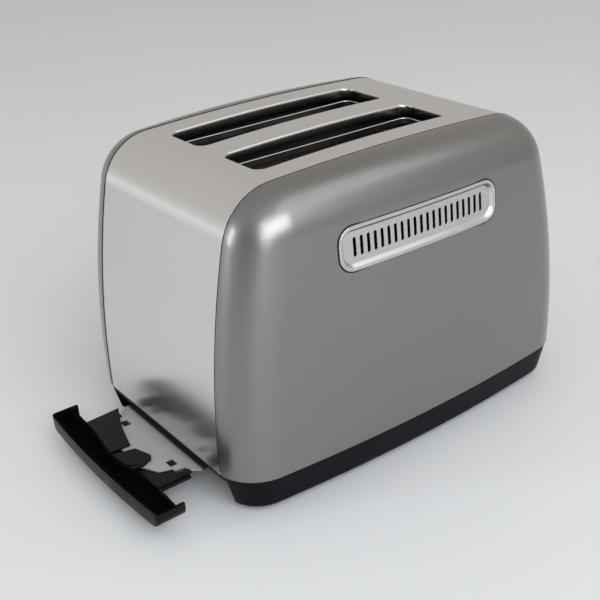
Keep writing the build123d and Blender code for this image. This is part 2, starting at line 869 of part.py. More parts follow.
def element_wire(y, face_side):
    # One flat resistance wire that runs to and fro across the board without a break
    near = y + face_side * board_sheet / 2
    far = near + face_side * wire_thick
    x0 = chamber_start_x + wire_margin
    x1 = front_plate_x - wire_margin
    low = chamber_low + wire_low_margin
    high = chamber_high - wire_high_margin
    pitch = (high - low) / (wire_runs - 1)
    wire = block(x0, x1, near, far, low - wire_width / 2, low + wire_width / 2)
    for number in range(1, wire_runs):
        z = low + number * pitch
        wire = wire + block(x0, x1, near, far, z - wire_width / 2, z + wire_width / 2)
        x = x1 - wire_width if number % 2 else x0
        wire = wire + block(x, x + wire_width, near, far, z - pitch - wire_width / 2, z + wire_width / 2)
    return wire


def bread_guard(side, pull):
    # A grid of wires that leans on the slice; its long wires ride in slots of both end plates
    y = side * slot_y + pull * guard_open
    x0 = rear_plate_x - guard_overhang
    x1 = front_plate_x + chamber_sheet + guard_overhang
    guard = bar_x(x0, x1, y, guard_low, guard_wire) + bar_x(x0, x1, y, guard_high, guard_wire)
    first = slot_low_x + guard_bar_inset
    pitch = (slot_length - 2 * guard_bar_inset) / (guard_bars - 1)
    for number in range(guard_bars):
        guard = guard + bar_z(first + number * pitch, y, guard_low, guard_high, guard_bar_wire)
    return guard


def bread_rail(side):
    # A T-shaped rail that carries one slice
    y = side * slot_y
    x0 = chamber_start_x + rail_end_clearance
    top = block(x0, bracket_x, y - rail_width / 2, y + rail_width / 2, rail_level - rail_sheet, rail_level)
    web = block(x0, bracket_x, y - rail_sheet / 2, y + rail_sheet / 2, rail_level - rail_height, rail_level)
    return top + web


def carriage_bracket():
    # A folded box that slides on the rods and carries the rails, the lever and the armature
    plate_half = slot_y + rail_width / 2 + bracket_margin
    cage_half = rod_y + bush_radius + bracket_margin
    inner_x = bracket_x + bracket_sheet
    bracket = block(bracket_x, inner_x, -plate_half, plate_half, bracket_low, lever_top)
    for z in (bracket_low, lever_top - bracket_sheet):
        bracket = bracket + block(inner_x, bracket_front_x, -cage_half, cage_half, z, z + bracket_sheet)
    bracket = bracket + block(bracket_front_x, bracket_front_x + bracket_sheet, -bracket_front_half,
                              bracket_front_half, bracket_low, lever_top)
    for side in (-1, 1):
        bracket = bracket - bar_z(rod_x, side * rod_y, 0, far, bush_radius + touch_gap)
        lug = block(inner_x, rod_x + spring_radius, side * (spring_y - spring_radius),
                    side * (spring_y + spring_radius), spring_foot - bracket_sheet, spring_foot)
        bracket = bracket + lug
    return bracket


def guide_bushes():
    bushes = []
    for side in (-1, 1):
        bush = bar_z(rod_x, side * rod_y, bracket_low - bush_collar, lever_top + bush_collar, bush_radius)
        bore = bar_z(rod_x, side * rod_y, 0, far, rod_radius + running_clearance)
        bushes.append(bush - bore)
    return bushes


def guide_rods():
    low = shelf_low - rod_tail
    high = shelf_high + sheet + 2 * rod_tail
    return [bar_z(rod_x, side * rod_y, low, high, rod_radius) for side in (-1, 1)]


def lift_springs():
    springs = []
    for side in (-1, 1):
        tube = bar_z(rod_x, side * spring_y, spring_foot, shelf_high, spring_radius)
        springs.append(tube - bar_z(rod_x, side * spring_y, 0, far, spring_bore))
    return springs


def lift_lever_arm():
    x0 = bracket_front_x + bracket_sheet
    return block(x0, knob_x + knob_socket, -lever_thick / 2, lever_thick / 2, lever_low, lever_top)


def lift_lever_knob():
    # A soft-edged thumb piece on the end of the lever
    knob = block(knob_x, knob_x + knob_proud, -knob_width / 2, knob_width / 2,
                 lever_middle - knob_height / 2, lever_middle + knob_height / 2)
    knob = fillet(knob.edges().filter_by(Axis.X), knob_round)
    knob = fillet(knob.faces().sort_by(Axis.X)[-1].edges(), knob_face_round)
    knob = fillet(knob.faces().sort_by(Axis.X)[0].edges(), knob_back_round)
    half = lever_thick / 2 + touch_gap
    return knob - block(knob_x - cut_margin, knob_x + knob_socket + touch_gap, -half, half,
                        lever_low - touch_gap, lever_top + touch_gap)


def lever_slot_bezel():
    # A thin trim round the lever's slot, lying on the center shell
    outer = arch_form(band_recess - bezel_proud, -band_half, band_half)
    trim = outer - arch_form(band_recess, -band_half, band_half)
    return (trim & lever_cut(bezel_width)) - lever_cut(0)


def magnet_core():
    core = block(magnet_x, magnet_x + magnet_width, -magnet_spacing / 2 - magnet_leg / 2,
                 magnet_spacing / 2 + magnet_leg / 2, shelf_top, shelf_top + magnet_leg)
    for side in (-1, 1):
        y = side * magnet_spacing / 2
        core = core + block(magnet_x, magnet_x + magnet_width, y - magnet_leg / 2, y + magnet_leg / 2,
                            shelf_top, magnet_top)
    return core


def magnet_coils():
    coils = []
    for side in (-1, 1):
        y = side * magnet_spacing / 2
        reach = magnet_leg / 2 + coil_wall
        low = shelf_top + magnet_leg
        coil = block(magnet_x - coil_overhang, magnet_x + magnet_width + coil_overhang, y - reach,
                     y + reach, low, magnet_top - coil_top_gap)
        coil = fillet(coil.edges().filter_by(Axis.Z), coil_round)
        half = magnet_leg / 2 + coil_clearance
        hole = block(magnet_x - coil_clearance, magnet_x + magnet_width + coil_clearance, y - half,
                     y + half, 0, far)
        coils.append(coil - hole)
    return coils


def armature_plate():
    low = magnet_top + armature_gap + lift_travel
    half = magnet_spacing / 2 + magnet_leg / 2
    return block(bracket_front_x + bracket_sheet, magnet_x + magnet_width, -half, half, low,
                 low + armature_sheet)


def control_board():
    return block(board_x, board_face_x, -control_board_half, control_board_half, control_board_low,
                 control_board_high)


def switch_top_x():
    return button_back_x - button_stem - button_travel - button_clearance


def board_components():
    # Switches behind the buttons, lamps behind the lenses, a relay, a chip and two capacitors
    pieces = []
    for y, level in button_places():
        pieces.append(block(board_face_x, switch_top_x(), y - switch_half, y + switch_half,
                            level - switch_half, level + switch_half))
    for y, level in lens_places():
        pieces.append(bar_x(board_face_x, button_back_x - 1, y, level, lens_radius))
    relay_x = board_face_x + relay_depth
    pieces.append(block(board_face_x, relay_x, -12, 6, dial_level + 12, dial_level + 22))
    pieces.append(block(board_face_x, board_face_x + chip_depth, -8, 8, dial_level - 24, dial_level - 15))
    for y in (14, 22):
        pieces.append(bar_x(board_face_x, relay_x, y, dial_level + 17, capacitor_radius))
    return pieces


def browning_pot():
    pot = block(board_face_x, board_face_x + pot_depth, -pot_half, pot_half, dial_level - pot_half,
                dial_level + pot_half)
    bore_start = board_face_x + shaft_seat - 0.2
    return pot - bar_x(bore_start, far, 0, dial_level, shaft_radius + running_clearance)


def pot_shaft():
    return bar_x(board_face_x + shaft_seat, dial_front_x - dial_cap, 0, dial_level, shaft_radius)


def browning_knob():
    # A round dial with a straight grip across its face
    knob = bar_x(dial_face_x, dial_face_x + dial_disc, 0, dial_level, dial_radius)
    knob = chamfer(knob.faces().sort_by(Axis.X)[-1].edges(), dial_edge)
    reach = dial_radius - dial_edge
    grip = block(dial_face_x + dial_disc / 2, dial_front_x, -dial_grip / 2, dial_grip / 2,
                 dial_level - reach, dial_level + reach)
    grip = fillet(grip.faces().sort_by(Axis.X)[-1].edges(), dial_grip_round)
    bore = bar_x(0, dial_front_x - dial_cap + touch_gap, 0, dial_level, shaft_radius + touch_gap)
    return knob + grip - bore


def dial_trim():
    ring = bar_x(band_end_x - trim_depth, dial_face_x + trim_proud, 0, dial_level, ring_outer)
    ring = fillet(ring.faces().sort_by(Axis.X)[-1].edges(), trim_round)
    return ring - bar_x(0, far, 0, dial_level, dial_radius + dial_clearance)


def control_fascia():
    # A curved plate on the end of the shell that frames the dial and the buttons
    inset = band_recess - fascia_proud
    plate = arch_form(inset, -band_half, band_half) - arch_form(band_recess, -band_half, band_half)
    height = fascia_high - fascia_low
    middle = (fascia_high + fascia_low) / 2
    plate = plate & end_cut(0, middle, 2 * fascia_half, height, fascia_corner) & above(shell_bottom)
    plate = plate - end_hole(0, dial_level, ring_outer + touch_gap)
    for y, level in button_places():
        plate = plate - end_cut(y, level, button_length, button_height, button_height * pill)
    for y, level in lens_places():
        plate = plate - end_hole(y, level, lens_radius + lens_clearance)
    return plate


def push_button(y, level):
    # A cap with round ends, a flange behind the shell and a stem that reaches for its switch
    gap = 2 * button_clearance
    width = button_length - gap
    height = button_height - gap
    corner = height * pill
    cap = prism_x(button_back_x + button_flange / 2, button_face_x, y, level, width, height, corner)
    cap = fillet(cap.faces().sort_by(Axis.X)[-1].edges(), button_round)
    grow = button_flange_margin
    flange = prism_x(button_back_x, button_back_x + button_flange, y, level, width + 2 * grow,
                     height + 2 * grow, corner + grow)
    stem_end = button_back_x + button_flange / 2
    stem = bar_x(button_back_x - button_stem, stem_end, y, level, button_stem_radius)
    return cap + flange + stem


def indicator_lenses():
    lenses = []
    for y, level in lens_places():
        lens = bar_x(button_back_x, button_face_x - lens_recess, y, level, lens_radius)
        lenses.append(fillet(lens.faces().sort_by(Axis.X)[-1].edges(), lens_round))
    return lenses


def mains_terminal_block():
    y = half_width - terminal_inset
    top = floor_level + terminal_height
    blocks = block(gland_x - terminal_half_x, gland_x + terminal_half_x, y - terminal_half_y,
                   y + terminal_half_y, floor_level, top)
    for number in (-1, 0, 1):
        x = gland_x + number * terminal_pitch
        blocks = blocks - bar_z(x, y, top - 5, far, 2.0)
        blocks = blocks - bar_y(x, 0, far, floor_level + 5, 1.6)
    return blocks


def cord_gland():
    # The bush in the base that the mains lead would come out of
    start = gland_end_y - gland_length
    gland = bar_y(gland_x, start, gland_end_y, gland_level, gland_radius)
    gland = gland + bar_y(gland_x, gland_face_y, gland_end_y, gland_level, gland_flange)
    return gland - bar_y(gland_x, 0, far, gland_level, gland_bore)


def end_surface_x(level, inset):
    # How far the end face reaches at a level, above the bottom of the shell
    reach = end_radius - inset
    return half_length - end_radius + math.sqrt(reach**2 - (level - shell_bottom) ** 2)


knob_low = lever_middle - lift_travel - knob_height / 2
knob_x = end_surface_x(knob_low, band_recess) + lever_clearance
dial_face_x = end_surface_x(dial_level, band_recess - fascia_proud) + dial_gap
dial_front_x = dial_face_x + dial_proud
button_back_x = end_surface_x(max(button_levels), band_inner) - button_seat
button_face_x = end_surface_x(min(button_levels), band_recess - fascia_proud) + button_proud
origin_x = round((handle_x + dial_front_x) / 2, 1)

os.makedirs("parts", exist_ok=True)

save(center_shell(), "center_shell")
panel = side_panel()
grille = vent_grille()
save(panel, "left_side_panel")
save(grille, "left_vent_grille")
save(mirror(panel, about=Plane.XZ), "right_side_panel")
save(mirror(grille, about=Plane.XZ), "right_vent_grille")
save(base_housing(), "base_housing")
save(rubber_feet(), "rubber_feet")
save(base_screws(), "base_screws")
save(crumb_tray(), "crumb_tray")
save(crumb_tray_handle(), "crumb_tray_handle")
save(tray_runners(), "tray_runners")
save(end_plate(rear_plate_x, -1), "rear_end_plate")
save(front_end_plate(), "front_end_plate")
save(mirror(reflector(), about=Plane.XZ), "left_reflector")
save(reflector(), "right_reflector")
save(slot_frame(), "slot_frame")
for side, name in ((-1, "left"), (1, "right")):
    save(element_board(side * outer_board_y), f"{name}_outer_element_board")
    save(element_board(side * inner_board_y), f"{name}_inner_element_board")
    save(element_wire(side * outer_board_y, -side), f"{name}_outer_element_wire")
    save(element_wire(side * inner_board_y, side), f"{name}_inner_element_wire")
    save(bread_guard(side, side), f"{name}_outer_bread_guard")
    save(bread_guard(side, -side), f"{name}_inner_bread_guard")
    save(bread_rail(side), f"{name}_bread_rail")
save(carriage_bracket(), "carriage_bracket")
save(guide_bushes(), "guide_bushes")
save(guide_rods(), "guide_rods")
save(lift_springs(), "lift_springs")
save(lift_lever_arm(), "lift_lever_arm")
save(lift_lever_knob(), "lift_lever_knob")
save(lever_slot_bezel(), "lever_slot_bezel")
save(magnet_core(), "magnet_core")
save(magnet_coils(), "magnet_coils")
save(armature_plate(), "armature_plate")
save(control_board(), "control_board")
save(board_components(), "board_components")
save(browning_pot(), "browning_pot")
save(pot_shaft(), "pot_shaft")
save(browning_knob(), "browning_knob")
save(dial_trim(), "dial_trim")
save(control_fascia(), "control_fascia")
button_names = ("reheat_button", "bagel_button", "defrost_button", "cancel_button")
for (y, level), name in zip(button_places(), button_names):
    save(push_button(y, level), name)
save(indicator_lenses(), "indicator_lenses")
save(mains_terminal_block(), "mains_terminal_block")
save(cord_gland(), "cord_gland")
print("lift travel", round(lift_travel, 3), "lever level", round(lever_middle, 3), "origin", origin_x)
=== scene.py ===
# %% [markdown]
# A toaster, finished and lit. The construction comes in as fixed nodes, one for each real piece. This file
# gives them their surfaces and adds what was left for it: small details, the light and the camera.
# Everything is in metres, with X along the toaster, Y across it and Z up.

# %% Load the frame
import bpy
import bmesh
import json
import math
from mathutils import Matrix, Vector


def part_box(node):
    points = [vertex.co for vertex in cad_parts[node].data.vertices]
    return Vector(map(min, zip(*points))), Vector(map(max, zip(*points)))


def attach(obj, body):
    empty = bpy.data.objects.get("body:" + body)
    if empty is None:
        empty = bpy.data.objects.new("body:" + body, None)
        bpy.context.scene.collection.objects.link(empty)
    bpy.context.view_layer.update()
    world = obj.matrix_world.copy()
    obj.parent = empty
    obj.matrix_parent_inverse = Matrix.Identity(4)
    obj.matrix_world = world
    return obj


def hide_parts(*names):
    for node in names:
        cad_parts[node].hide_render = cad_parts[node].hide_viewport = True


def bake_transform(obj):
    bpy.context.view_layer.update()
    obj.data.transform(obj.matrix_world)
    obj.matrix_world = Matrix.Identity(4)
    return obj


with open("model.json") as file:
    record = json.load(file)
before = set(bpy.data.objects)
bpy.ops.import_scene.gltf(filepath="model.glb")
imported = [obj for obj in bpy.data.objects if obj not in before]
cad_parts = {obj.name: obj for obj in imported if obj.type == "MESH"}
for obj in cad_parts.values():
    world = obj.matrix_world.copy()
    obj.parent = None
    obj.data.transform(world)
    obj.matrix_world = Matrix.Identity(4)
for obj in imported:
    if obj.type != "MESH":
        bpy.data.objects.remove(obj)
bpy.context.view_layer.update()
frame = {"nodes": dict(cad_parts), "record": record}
nodes = frame["nodes"]

# %% [markdown]
# The camera stands beyond the tray's end and looks down on the toaster. Its place was worked out from the
# straight edges of the body. A camera can be turned by angles or by a constraint that tracks a point, but
# neither gives the roll directly. A camera is its own right, up and back directions, so here it is turned by
# a matrix made of those three, and a small roll tips the picture.

# %% Camera
eye = Vector((-0.3601, -0.5081, 0.3851))
aim = Vector((0.0315, 0.0, 0.0644))
camera_roll = math.radians(-2.69)
image_side = 600
focal_pixels = 1009.5
axis_pixel = 345.1

back = (eye - aim).normalized()
right = Vector((0, 0, 1)).cross(back).normalized()
up = back.cross(right)
tilted_right = right * math.cos(camera_roll) + up * math.sin(camera_roll)
tilted_up = up * math.cos(camera_roll) - right * math.sin(camera_roll)

lens = bpy.data.cameras.new("camera")
lens.lens = lens.sensor_width * focal_pixels / image_side
lens.shift_x = (image_side / 2 - axis_pixel) / image_side
camera = bpy.data.objects.new("camera", lens)
turned = Matrix((tilted_right, tilted_up, back)).transposed().to_4x4()
camera.matrix_world = Matrix.Translation(eye) @ turned
bpy.context.scene.collection.objects.link(camera)
bpy.context.scene.camera = camera
print("lens", round(lens.lens, 2), "mm")

# %% [markdown]
# A material is a small network of nodes. Written out, each one would be a page of links, and the same few
# steps would come back every time. So those steps are short functions: one adds a node and fills its inputs,
# and the others are made of it. The patterns could also be images wrapped round the object, but then every
# piece would need unwrapping. Here they are worked out from the place of a point on the object instead.

# %% Add nodes and link them
def new_material(name, color, metallic, roughness):
    material = bpy.data.materials.new(name)
    material.use_nodes = True
    shader = material.node_tree.nodes["Principled BSDF"]
    shader.inputs["Base Color"].default_value = (*color, 1)
    shader.inputs["Metallic"].default_value = metallic
    shader.inputs["Roughness"].default_value = roughness
    return material, shader


def add(material, kind, inputs=(), **settings):
    # An input is given as a plain value, or as the output of another node
    node = material.node_tree.nodes.new(kind)
    for name, value in settings.items():
        setattr(node, name, value)
    for name, value in dict(inputs).items():
        if isinstance(value, bpy.types.NodeSocket):
            material.node_tree.links.new(value, node.inputs[name])
        else:
            node.inputs[name].default_value = value
    return node


def feed(material, socket, target):
    material.node_tree.links.new(socket, target)


def calculate(material, operation, *numbers):
    # One step of arithmetic on patterns and plain numbers
    return add(material, "ShaderNodeMath", dict(enumerate(numbers)), operation=operation).outputs[0]


print("a new node is one call of", add.__name__)

# %% Make patterns
def coordinate(material, axis, source="Object"):
    # One coordinate of the place on the object, or, with "Normal", of the way that its surface faces
    where = add(material, "ShaderNodeTexCoord").outputs[source]
    return add(material, "ShaderNodeSeparateXYZ", {"Vector": where}).outputs[axis]


def grain(material, stretch, detail=3.0):
    # A cloud pattern, drawn out along the axes that have the small numbers
    where = add(material, "ShaderNodeTexCoord").outputs["Object"]
    place = add(material, "ShaderNodeMapping", {"Vector": where, "Scale": stretch}).outputs["Vector"]
    clouds = add(material, "ShaderNodeTexNoise", {"Vector": place, "Scale": 1.0, "Detail": detail})
    return clouds.outputs["Fac"]


def spread(material, value, low, high, start=0.3, end=0.7):
    # Turns a pattern between start and end into a number between low and high
    inputs = {"Value": value, "From Min": start, "From Max": end, "To Min": low, "To Max": high}
    return add(material, "ShaderNodeMapRange", inputs).outputs["Result"]


print("a pattern is one call of", grain.__name__)

# %% Turn patterns into colour and relief
# A Mix node has inputs for numbers, vectors and colours side by side. These are the places of the colours
first_color, second_color, mixed_color = 6, 7, 2
edge_samples = 4


def tint(material, value, dark, light):
    # Turns a pattern into a colour between two colours
    mix = add(material, "ShaderNodeMix", {"Factor": value}, data_type="RGBA")
    mix.inputs[first_color].default_value = (*dark, 1)
    mix.inputs[second_color].default_value = (*light, 1)
    return mix.outputs[mixed_color]


def darken(material, shader, amount, color):
    # Mixes a darker colour into the one that already feeds the shader
    mix = add(material, "ShaderNodeMix", {"Factor": amount}, data_type="RGBA")
    feed(material, shader.inputs["Base Color"].links[0].from_socket, mix.inputs[first_color])
    mix.inputs[second_color].default_value = (*color, 1)
    feed(material, mix.outputs[mixed_color], shader.inputs["Base Color"])


def relief(material, shader, height, depth, soft_edge):
    # A bump on top of edges that look a little rounded
    edge = add(material, "ShaderNodeBevel", {"Radius": soft_edge}, samples=edge_samples).outputs["Normal"]
    inputs = {"Height": height, "Distance": depth, "Strength": 1.0, "Normal": edge}
    feed(material, add(material, "ShaderNodeBump", inputs).outputs["Normal"], shader.inputs["Normal"])


print("a relief is one call of", relief.__name__)

# %% [markdown]
# The band over the top and both ends is stainless steel with a fine brushing that runs along its length.
# Brushing is thousands of parallel scratches. They could be cut into the mesh, but they are thinner than a
# hair, so a pattern does it: a cloud squeezed to hair width across the band. It makes the colour, the
# roughness and a very low relief vary together. A second, wide cloud adds the uneven sheen of real sheet
# metal. Scratches also stretch every highlight across them, which is what Anisotropic does.

# %% Brushed steel of the band
def brushed_steel(name, dark, light, smooth, rough, stretch, wander, depth, soft_edge=0.0004):
    material, shader = new_material(name, light, 1.0, smooth)
    hairs = grain(material, stretch, detail=4.0)
    clouds = grain(material, wander, detail=2.0)
    both = spread(material, calculate(material, "ADD", hairs, clouds), 0.0, 1.0, start=0.7, end=1.3)
    feed(material, tint(material, both, dark, light), shader.inputs["Base Color"])
    feed(material, spread(material, both, smooth, rough, start=0.0, end=1.0), shader.inputs["Roughness"])
    relief(material, shader, hairs, depth, soft_edge)
    return material, shader


band_steel, band_shader = brushed_steel(
    "band_steel", dark=(0.735, 0.715, 0.702), light=(0.753, 0.733, 0.72), smooth=0.24, rough=0.27,
    stretch=(9, 1500, 9), wander=(8, 10, 8), depth=0.0000002, soft_edge=0.0012)
band_shader.inputs["Anisotropic"].default_value = 0.55
band_shader.inputs["Anisotropic Rotation"].default_value = 0.25
brushing = add(band_steel, "ShaderNodeTangent", direction_type="RADIAL", axis="Y")
feed(band_steel, brushing.outputs["Tangent"], band_shader.inputs["Tangent"])
print("band", band_steel.name)

# %% [markdown]
# Round the two slots the band is folded down, and the folds stand in the shade inside the slots. That shade
# is painted on as a darker colour which deepens downwards. The folds are one sheet with the rest, so they
# can't simply have a second material. Instead the painted shade comes in where three things hold: the point
# is near the slots, its surface stands upright, and it is below the top.

# %% Painted shade in the folds of the slots
slots_middle_x = 0.0082
slots_half_x = 0.075
slots_half_y = 0.0505
upright_within = 0.6
fold_low = 0.194
fold_high = 0.1985
painted_fold_shade = (0.07, 0.062, 0.057)


def near(material, value, middle, reach):
    # 1 where a value is nearer to the middle than the reach, and 0 elsewhere
    return calculate(material, "COMPARE", value, middle, reach)


near_x = near(band_steel, coordinate(band_steel, "X"), slots_middle_x, slots_half_x)
near_y = near(band_steel, coordinate(band_steel, "Y"), 0.0, slots_half_y)
stands_up = near(band_steel, coordinate(band_steel, "Z", "Normal"), 0.0, upright_within)
on_fold = calculate(band_steel, "MULTIPLY", stands_up, calculate(band_steel, "MULTIPLY", near_x, near_y))
shade_deepens = spread(band_steel, coordinate(band_steel, "Z"), 1.0, 0.25, start=fold_low, end=fold_high)
# Paints the shade inside the slots onto the folds, darker further down
darken(band_steel, band_shader, calculate(band_steel, "MULTIPLY", on_fold, shade_deepens), painted_fold_shade)
print("folds darken from", fold_high, "down to", fold_low)

# %% [markdown]
# The side panels have a metallic silver finish under clear lacquer. A single rough metal would spread every
# highlight alike. The real finish has two layers: the soft metal spreads the highlight, and the lacquer adds
# a sharper one on top. So the shader has a rough metal and a smooth coat. The grille is a separate stamping
# in bare steel, paler again, and its bevel that faces down gets painted shade: a darker colour where the
# surface looks down.

# %% Lacquered silver of the panels
panel_steel, panel_shader = brushed_steel(
    "panel_steel", dark=(0.25, 0.242, 0.234), light=(0.258, 0.251, 0.245), smooth=0.32, rough=0.35,
    stretch=(7, 900, 1100), wander=(7, 7, 9), depth=0.0000003)
panel_shader.inputs["Coat Weight"].default_value = 0.6
panel_shader.inputs["Coat Roughness"].default_value = 0.17
panel_shader.inputs["Coat IOR"].default_value = 1.4
print("panels", panel_steel.name)

# %% Bare steel of the grilles
grille_steel, grille_shader = brushed_steel(
    "grille_steel", dark=(0.56, 0.55, 0.54), light=(0.62, 0.61, 0.6), smooth=0.24, rough=0.32,
    stretch=(8, 700, 1300), wander=(20, 20, 30), depth=0.000003)
# Painted shade: the bevel that faces down gets a darker colour
painted_underside_shade = (0.17, 0.168, 0.165)
faces_down = spread(grille_steel, coordinate(grille_steel, "Z", "Normal"), 1.0, 0.0, start=-0.5, end=-0.3)
darken(grille_steel, grille_shader, faces_down, painted_underside_shade)
print("grilles", grille_steel.name)

# %% [markdown]
# Moulded plastic has a spark-eroded grain: tiny pits in the mould that break up the shine. They are too small
# to model, so a fine cloud as relief gives the pits, and a wider one changes the gloss a little, as hands and
# cloths do. The rubber of the feet and seals is the same with more roughness and deeper pits.

# %% Moulded plastics and rubber
def moulded(name, dark, light, roughness, pit, depth, soft_edge=0.0006, shine=0.3, worn=0.14):
    material, shader = new_material(name, dark, 0.0, roughness)
    shader.inputs["Specular IOR Level"].default_value = shine
    clouds = grain(material, (28, 28, 28))
    pits = grain(material, (pit, pit, pit), detail=2.0)
    feed(material, tint(material, clouds, dark, light), shader.inputs["Base Color"])
    feed(material, spread(material, clouds, roughness, roughness + worn), shader.inputs["Roughness"])
    relief(material, shader, pits, depth, soft_edge)
    return material


base_plastic = moulded("base_plastic", (0.0022, 0.003, 0.005), (0.0042, 0.005, 0.0078),
                       roughness=0.36, pit=2600, depth=0.000012, shine=0.07)
handle_plastic = moulded("handle_plastic", (0.0018, 0.002, 0.0024), (0.0034, 0.0038, 0.0044),
                         roughness=0.3, pit=2200, depth=0.000008, shine=0.16)
knob_plastic = moulded("knob_plastic", (0.005, 0.005, 0.0055), (0.009, 0.009, 0.01),
                       roughness=0.26, pit=2400, depth=0.00001)
foot_rubber = moulded("foot_rubber", (0.006, 0.006, 0.006), (0.014, 0.013, 0.012),
                      roughness=0.75, pit=1500, depth=0.00006)
print("plastics", base_plastic.name, handle_plastic.name, knob_plastic.name, foot_rubber.name)

# %% [markdown]
# The tray is rolled sheet with a thin zinc coat. Rolling leaves faint streaks along it, and sliding in and
# out leaves fine scratches the same way, so it is made like the brushed steel. But the zinc has gone dull and
# scatters much of the light, so it is only partly metallic. Its front stays its own colour, and the part
# that lies in under the body has a painted shadow: a dark colour from the line where the body begins.

# %% Sheet metal of the tray
tray_sheet, tray_shader = brushed_steel(
    "tray_sheet", dark=(0.37, 0.36, 0.368), light=(0.42, 0.41, 0.418), smooth=0.42, rough=0.5,
    stretch=(6, 420, 420), wander=(12, 12, 12), depth=0.000004)
tray_shader.inputs["Metallic"].default_value = 0.3
shadow_start = -0.1232
shadow_full = -0.1214
painted_shadow_color = (0.03, 0.025, 0.022)
# Painted shadow of the body on the tray, dark from the line where the body begins
shadowed = spread(tray_sheet, coordinate(tray_sheet, "X"), 0.0, 1.0, start=shadow_start, end=shadow_full)
darken(tray_sheet, tray_shader, shadowed, painted_shadow_color)
print("tray is baked from x", shadow_full)

# %% [markdown]
# Inside, the aluminised sheets near the heating wires have dulled and turned a warm brown in clouds, more so
# towards the middle of their height, where they get hottest. A plain brown would look painted. So the brown
# is a cloud pattern times a number that falls off above and below the middle.

# %% Heated sheet metal
def heated_sheet(name, clean, browned, middle, reach):
    material, shader = new_material(name, clean, 1.0, 0.45)
    above = calculate(material, "SUBTRACT", coordinate(material, "Z"), middle)
    heat = spread(material, calculate(material, "ABSOLUTE", above), 1.0, 0.15, start=0.0, end=reach)
    clouds = spread(material, grain(material, (24, 24, 24), detail=5.0), 0.0, 1.0)
    burnt = calculate(material, "MULTIPLY", heat, clouds)
    feed(material, tint(material, burnt, clean, browned), shader.inputs["Base Color"])
    feed(material, spread(material, clouds, 0.3, 0.55, start=0.0, end=1.0), shader.inputs["Roughness"])
    relief(material, shader, grain(material, (300, 300, 300)), depth=0.00004, soft_edge=0.0003)
    return material


chamber_sheet = heated_sheet("chamber_sheet", clean=(0.15, 0.14, 0.135), browned=(0.075, 0.04, 0.028),
                             middle=0.1, reach=0.09)
frame_sheet = heated_sheet("frame_sheet", clean=(0.16, 0.155, 0.15), browned=(0.09, 0.07, 0.06),
                           middle=0.1, reach=0.1)
print("sheets", chamber_sheet.name, frame_sheet.name)

# %% [markdown]
# The small inner metals differ in little: zinc-plated steel has a pale, slightly blotched shine, drawn wire
# and ground rods are bright, brass is warm, and the magnet's iron is dark and rough. So one function makes
# them all, with the two colours, the roughness and the fineness of the blotches as its values.

# %% Small metals
def plain_metal(name, dark, light, smooth, rough, blotch=120, depth=0.00002):
    material, shader = new_material(name, light, 1.0, smooth)
    clouds = spread(material, grain(material, (blotch, blotch, blotch), detail=4.0), 0.0, 1.0)
    feed(material, tint(material, clouds, dark, light), shader.inputs["Base Color"])
    feed(material, spread(material, clouds, smooth, rough, start=0.0, end=1.0), shader.inputs["Roughness"])
    relief(material, shader, clouds, depth, soft_edge=0.0003)
    return material


plated = plain_metal("zinc_plating", (0.42, 0.42, 0.43), (0.6, 0.6, 0.6), 0.3, 0.45)
bright_wire = plain_metal("bright_wire", (0.5, 0.49, 0.48), (0.66, 0.65, 0.64), 0.2, 0.3, blotch=260)
ground_rod = plain_metal("ground_rod", (0.55, 0.55, 0.56), (0.68, 0.68, 0.68), 0.15, 0.22, blotch=300)
spring_steel = plain_metal("spring_steel", (0.26, 0.26, 0.27), (0.42, 0.42, 0.42), 0.3, 0.42, blotch=400)
turned_brass = plain_metal("turned_brass", (0.52, 0.34, 0.12), (0.66, 0.46, 0.18), 0.25, 0.36, blotch=200)
magnet_iron = plain_metal("magnet_iron", (0.09, 0.09, 0.095), (0.17, 0.17, 0.17), 0.45, 0.6, blotch=160)
polished_trim = plain_metal("polished_trim", (0.56, 0.56, 0.565), (0.66, 0.66, 0.66), 0.1, 0.2, blotch=60)
ribbon = plain_metal("resistance_ribbon", (0.09, 0.075, 0.07), (0.22, 0.19, 0.175), 0.4, 0.6, blotch=90)
print("small metals from", plated.name, "to", ribbon.name)

# %% [markdown]
# The rest are insulators, coils and the circuit board. Mica board is pressed from flakes, so a pattern of
# cells, brown between them, suits it better than a cloud. Enamelled copper wire lies in turns. Modelled turns
# would be many thousand faces that nobody sees, so a wave along the coil's height draws them.

# %% Mica board and wound copper
flakes_per_metre = 420.0
turns_scale = 420.0


def mica_board():
    material, shader = new_material("mica_board", (0.09, 0.06, 0.045), 0.0, 0.4)
    where = add(material, "ShaderNodeTexCoord").outputs["Object"]
    cells = add(material, "ShaderNodeTexVoronoi", {"Vector": where, "Scale": flakes_per_metre})
    shine = spread(material, cells.outputs["Distance"], 0.0, 1.0, start=0.2, end=0.7)
    browns = tint(material, shine, (0.11, 0.075, 0.055), (0.05, 0.032, 0.025))
    feed(material, browns, shader.inputs["Base Color"])
    feed(material, spread(material, shine, 0.25, 0.55, start=0.0, end=1.0), shader.inputs["Roughness"])
    relief(material, shader, shine, depth=0.00004, soft_edge=0.0002)
    return material


def wound_copper():
    material, shader = new_material("wound_copper", (0.36, 0.13, 0.05), 0.6, 0.3)
    where = add(material, "ShaderNodeTexCoord").outputs["Object"]
    inputs = {"Vector": where, "Scale": turns_scale}
    turns = add(material, "ShaderNodeTexWave", inputs, bands_direction="Z").outputs["Fac"]
    feed(material, tint(material, turns, (0.2, 0.06, 0.02), (0.45, 0.18, 0.07)), shader.inputs["Base Color"])
    relief(material, shader, turns, depth=0.00015, soft_edge=0.0003)
    return material


mica = mica_board()
coil_copper = wound_copper()
print("coil and board", coil_copper.name, mica.name)

